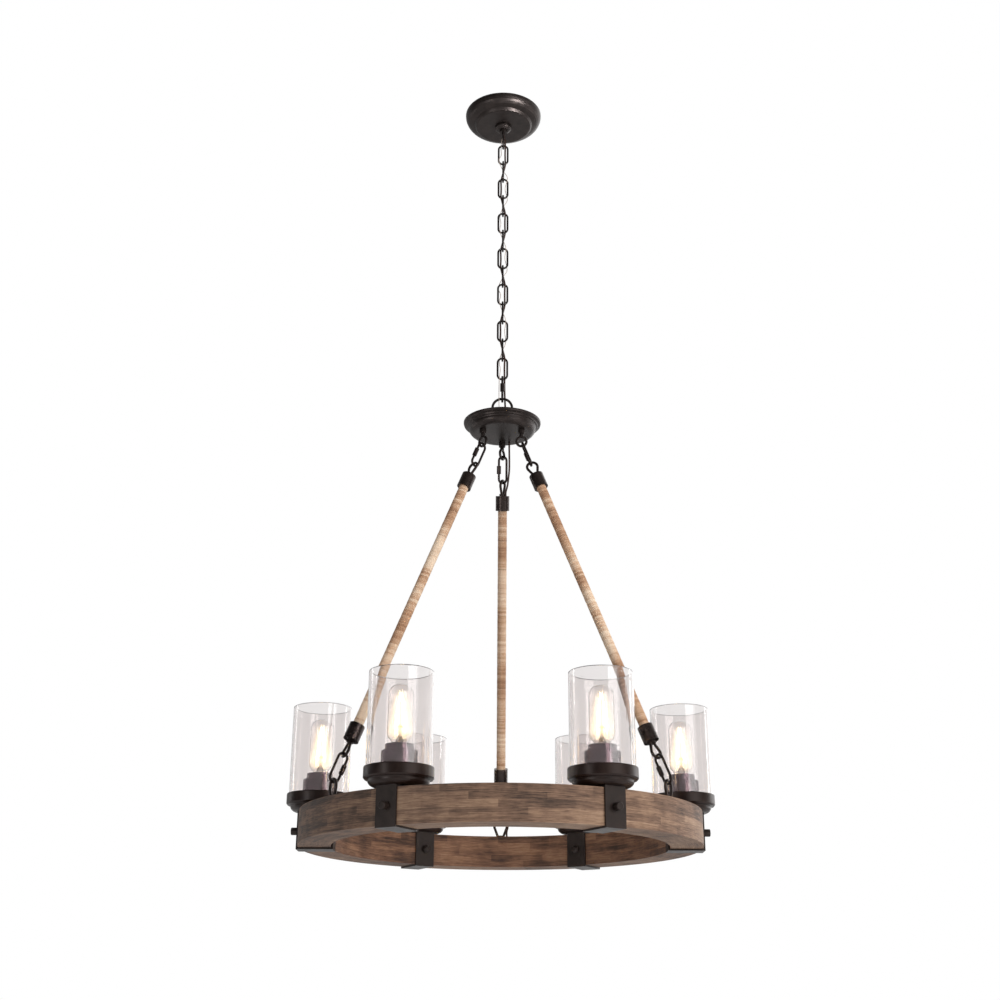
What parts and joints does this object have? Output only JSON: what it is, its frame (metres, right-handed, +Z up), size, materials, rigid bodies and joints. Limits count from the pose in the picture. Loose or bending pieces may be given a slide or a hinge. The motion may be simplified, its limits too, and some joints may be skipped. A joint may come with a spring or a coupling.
{
  "type": "wagon wheel chandelier",
  "caption": "Bolted wooden ring with glass-shaded lamps, hung by twine-wrapped rods from a pressed hub, a chain and a ceiling canopy.",
  "frame": {"origin": "on the ceiling, at the middle of the canopy's rim", "axes": "+Z up into the ceiling, so the chandelier hangs towards -Z; +X to the right and -Y towards the viewer of the picture, two of the lamps standing on the X axis"},
  "size_m": [0.752, 0.7, 1.5321],
  "materials": {
    "dark_bronze": "matte oil-rubbed bronze paint, brown-black",
    "zinc_steel": "bright zinc-plated steel",
    "green_screw": "green-dyed plated steel earth screw",
    "brass": "plain brass-plated thread",
    "twine": "tan jute twine, wound tight",
    "weathered_wood": "weathered grey-brown stained wood, matt",
    "brown_cable": "brown plastic lead",
    "seeded_glass": "clear blown glass with a few seed bubbles",
    "bulb_glass": "clear filament bulb, lit warm white"
  },
  "bodies": {
    "ceiling_group": {"crossbar": "zinc_steel", "crossbar_fasteners": "green_screw", "nipple_and_nuts": "brass", "canopy": "dark_bronze", "canopy_loop": "dark_bronze", "lead_wire": "brown_cable"},
    "collar": {"loop_collar": "dark_bronze"},
    "link_01": {"chain_link_01": "dark_bronze"},
    "link_02": {"chain_link_02": "dark_bronze"},
    "link_03": {"chain_link_03": "dark_bronze"},
    "link_04": {"chain_link_04": "dark_bronze"},
    "link_05": {"chain_link_05": "dark_bronze"},
    "link_06": {"chain_link_06": "dark_bronze"},
    "link_07": {"chain_link_07": "dark_bronze"},
    "link_08": {"chain_link_08": "dark_bronze"},
    "link_09": {"chain_link_09": "dark_bronze"},
    "link_10": {"chain_link_10": "dark_bronze"},
    "link_11": {"chain_link_11": "dark_bronze"},
    "link_12": {"chain_link_12": "dark_bronze"},
    "link_13": {"chain_link_13": "dark_bronze"},
    "hub_quick_link": {"hub_link": "dark_bronze"},
    "hub": {"hub_loop": "dark_bronze", "hub_cover": "dark_bronze", "hub_bowl": "dark_bronze", "hub_eyes": "dark_bronze"},
    "hanger_1": {"rod_1": "dark_bronze", "rope_wrap_1": "twine", "rod_links_1": "dark_bronze"},
    "hanger_2": {"rod_2": "dark_bronze", "rope_wrap_2": "twine", "rod_links_2": "dark_bronze"},
    "hanger_3": {"rod_3": "dark_bronze", "rope_wrap_3": "twine", "rod_links_3": "dark_bronze"},
    "wheel": {"wheel_felloes": "weathered_wood", "straps": "dark_bronze", "strap_bolts": "dark_bronze", "cap_nuts": "dark_bronze", "ring_eyes": "dark_bronze", "pans": "dark_bronze", "sockets": "dark_bronze", "wheel_wiring": "brown_cable"},
    "shade_1": {"glass_1": "seeded_glass"},
    "clamp_1": {"shade_ring_1": "dark_bronze"},
    "lamp_1": {"bulb_1": "bulb_glass"},
    "shade_2": {"glass_2": "seeded_glass"},
    "clamp_2": {"shade_ring_2": "dark_bronze"},
    "lamp_2": {"bulb_2": "bulb_glass"},
    "shade_3": {"glass_3": "seeded_glass"},
    "clamp_3": {"shade_ring_3": "dark_bronze"},
    "lamp_3": {"bulb_3": "bulb_glass"},
    "shade_4": {"glass_4": "seeded_glass"},
    "clamp_4": {"shade_ring_4": "dark_bronze"},
    "lamp_4": {"bulb_4": "bulb_glass"},
    "shade_5": {"glass_5": "seeded_glass"},
    "clamp_5": {"shade_ring_5": "dark_bronze"},
    "lamp_5": {"bulb_5": "bulb_glass"},
    "shade_6": {"glass_6": "seeded_glass"},
    "clamp_6": {"shade_ring_6": "dark_bronze"},
    "lamp_6": {"bulb_6": "bulb_glass"}
  },
  "joints": [
    {"name": "collar_turn", "type": "hinge", "parent": "ceiling_group", "child": "collar", "pos_m": [0, 0, -0.0327], "axis": [0, 0, 1], "continuous": true},
    {"name": "link_01_swing", "type": "hinge", "parent": "ceiling_group", "child": "link_01", "pos_m": [0, 0, -0.08], "axis": [0, 1, 0], "range_deg": [-10, 10], "deforming": ["lead_wire"]},
    {"name": "link_02_swing", "type": "hinge", "parent": "link_01", "child": "link_02", "pos_m": [0, 0, -0.12165], "axis": [1, 0, 0], "range_deg": [-10, 10]},
    {"name": "link_03_swing", "type": "hinge", "parent": "link_02", "child": "link_03", "pos_m": [0, 0, -0.16355], "axis": [0, 1, 0], "range_deg": [-10, 10]},
    {"name": "link_04_swing", "type": "hinge", "parent": "link_03", "child": "link_04", "pos_m": [0, 0, -0.20545], "axis": [1, 0, 0], "range_deg": [-10, 10]},
    {"name": "link_05_swing", "type": "hinge", "parent": "link_04", "child": "link_05", "pos_m": [0, 0, -0.24735], "axis": [0, 1, 0], "range_deg": [-10, 10]},
    {"name": "link_06_swing", "type": "hinge", "parent": "link_05", "child": "link_06", "pos_m": [0, 0, -0.28925], "axis": [1, 0, 0], "range_deg": [-10, 10]},
    {"name": "link_07_swing", "type": "hinge", "parent": "link_06", "child": "link_07", "pos_m": [0, 0, -0.33115], "axis": [0, 1, 0], "range_deg": [-10, 10]},
    {"name": "link_08_swing", "type": "hinge", "parent": "link_07", "child": "link_08", "pos_m": [0, 0, -0.37305], "axis": [1, 0, 0], "range_deg": [-10, 10]},
    {"name": "link_09_swing", "type": "hinge", "parent": "link_08", "child": "link_09", "pos_m": [0, 0, -0.41495], "axis": [0, 1, 0], "range_deg": [-10, 10]},
    {"name": "link_10_swing", "type": "hinge", "parent": "link_09", "child": "link_10", "pos_m": [0, 0, -0.45685], "axis": [1, 0, 0], "range_deg": [-10, 10]},
    {"name": "link_11_swing", "type": "hinge", "parent": "link_10", "child": "link_11", "pos_m": [0, 0, -0.49875], "axis": [0, 1, 0], "range_deg": [-10, 10]},
    {"name": "link_12_swing", "type": "hinge", "parent": "link_11", "child": "link_12", "pos_m": [0, 0, -0.54065], "axis": [1, 0, 0], "range_deg": [-10, 10]},
    {"name": "link_13_swing", "type": "hinge", "parent": "link_12", "child": "link_13", "pos_m": [0, 0, -0.58255], "axis": [0, 1, 0], "range_deg": [-10, 10]},
    {"name": "hub_link_swing", "type": "hinge", "parent": "link_13", "child": "hub_quick_link", "pos_m": [0, 0, -0.62445], "axis": [1, 0, 0], "range_deg": [-10, 10]},
    {"name": "hub_swing", "type": "hinge", "parent": "hub_quick_link", "child": "hub", "pos_m": [0, 0, -0.6719], "axis": [0, 1, 0], "range_deg": [-10, 10]},
    {"name": "wheel_twist", "type": "hinge", "parent": "hub", "child": "wheel", "pos_m": [0, 0, -1.49985], "axis": [0, 0, 1], "range_deg": [-8, 8]},
    {"name": "hanger_1_swing", "type": "hinge", "parent": "hub", "child": "hanger_1", "pos_m": [-0.03796, -0.02077, -0.7768], "axis": [0, 0, 1], "range_deg": [-9.6, 9.6]},
    {"name": "hanger_2_swing", "type": "hinge", "parent": "hub", "child": "hanger_2", "pos_m": [0.04054, -0.02161, -0.77626], "axis": [0, 0, 1], "range_deg": [-9.6, 9.6]},
    {"name": "hanger_3_swing", "type": "hinge", "parent": "hub", "child": "hanger_3", "pos_m": [0.00143, 0.04606, -0.77623], "axis": [0, 0, 1], "range_deg": [-9.6, 9.6]},
    {"name": "glass_1_lift", "type": "slide", "parent": "wheel", "child": "shade_1", "axis": [0, 0, 1], "range_m": [0, 0.16]},
    {"name": "ring_1_lift", "type": "slide", "parent": "wheel", "child": "clamp_1", "axis": [0, 0, 1], "range_m": [0, 0.2]},
    {"name": "bulb_1_unscrew", "type": "slide", "parent": "wheel", "child": "lamp_1", "axis": [0, 0, 1], "range_m": [0, 0.15]},
    {"name": "glass_2_lift", "type": "slide", "parent": "wheel", "child": "shade_2", "axis": [0, 0, 1], "range_m": [0, 0.16]},
    {"name": "ring_2_lift", "type": "slide", "parent": "wheel", "child": "clamp_2", "axis": [0, 0, 1], "range_m": [0, 0.2]},
    {"name": "bulb_2_unscrew", "type": "slide", "parent": "wheel", "child": "lamp_2", "axis": [0, 0, 1], "range_m": [0, 0.15]},
    {"name": "glass_3_lift", "type": "slide", "parent": "wheel", "child": "shade_3", "axis": [0, 0, 1], "range_m": [0, 0.16]},
    {"name": "ring_3_lift", "type": "slide", "parent": "wheel", "child": "clamp_3", "axis": [0, 0, 1], "range_m": [0, 0.2]},
    {"name": "bulb_3_unscrew", "type": "slide", "parent": "wheel", "child": "lamp_3", "axis": [0, 0, 1], "range_m": [0, 0.15]},
    {"name": "glass_4_lift", "type": "slide", "parent": "wheel", "child": "shade_4", "axis": [0, 0, 1], "range_m": [0, 0.16]},
    {"name": "ring_4_lift", "type": "slide", "parent": "wheel", "child": "clamp_4", "axis": [0, 0, 1], "range_m": [0, 0.2]},
    {"name": "bulb_4_unscrew", "type": "slide", "parent": "wheel", "child": "lamp_4", "axis": [0, 0, 1], "range_m": [0, 0.15]},
    {"name": "glass_5_lift", "type": "slide", "parent": "wheel", "child": "shade_5", "axis": [0, 0, 1], "range_m": [0, 0.16]},
    {"name": "ring_5_lift", "type": "slide", "parent": "wheel", "child": "clamp_5", "axis": [0, 0, 1], "range_m": [0, 0.2]},
    {"name": "bulb_5_unscrew", "type": "slide", "parent": "wheel", "child": "lamp_5", "axis": [0, 0, 1], "range_m": [0, 0.15]},
    {"name": "glass_6_lift", "type": "slide", "parent": "wheel", "child": "shade_6", "axis": [0, 0, 1], "range_m": [0, 0.16]},
    {"name": "ring_6_lift", "type": "slide", "parent": "wheel", "child": "clamp_6", "axis": [0, 0, 1], "range_m": [0, 0.2]},
    {"name": "bulb_6_unscrew", "type": "slide", "parent": "wheel", "child": "lamp_6", "axis": [0, 0, 1], "range_m": [0, 0.15]}
  ],
  "couplings": [
    {"joint": "hanger_1_swing", "follows": "wheel_twist", "ratio": 1.1569},
    {"joint": "hanger_2_swing", "follows": "wheel_twist", "ratio": 1.1681},
    {"joint": "hanger_3_swing", "follows": "wheel_twist", "ratio": 1.1687},
    {"joint": "ring_1_lift", "follows": "glass_1_lift", "ratio": 1.25},
    {"joint": "ring_2_lift", "follows": "glass_2_lift", "ratio": 1.25},
    {"joint": "ring_3_lift", "follows": "glass_3_lift", "ratio": 1.25},
    {"joint": "ring_4_lift", "follows": "glass_4_lift", "ratio": 1.25},
    {"joint": "ring_5_lift", "follows": "glass_5_lift", "ratio": 1.25},
    {"joint": "ring_6_lift", "follows": "glass_6_lift", "ratio": 1.25}
  ]
}
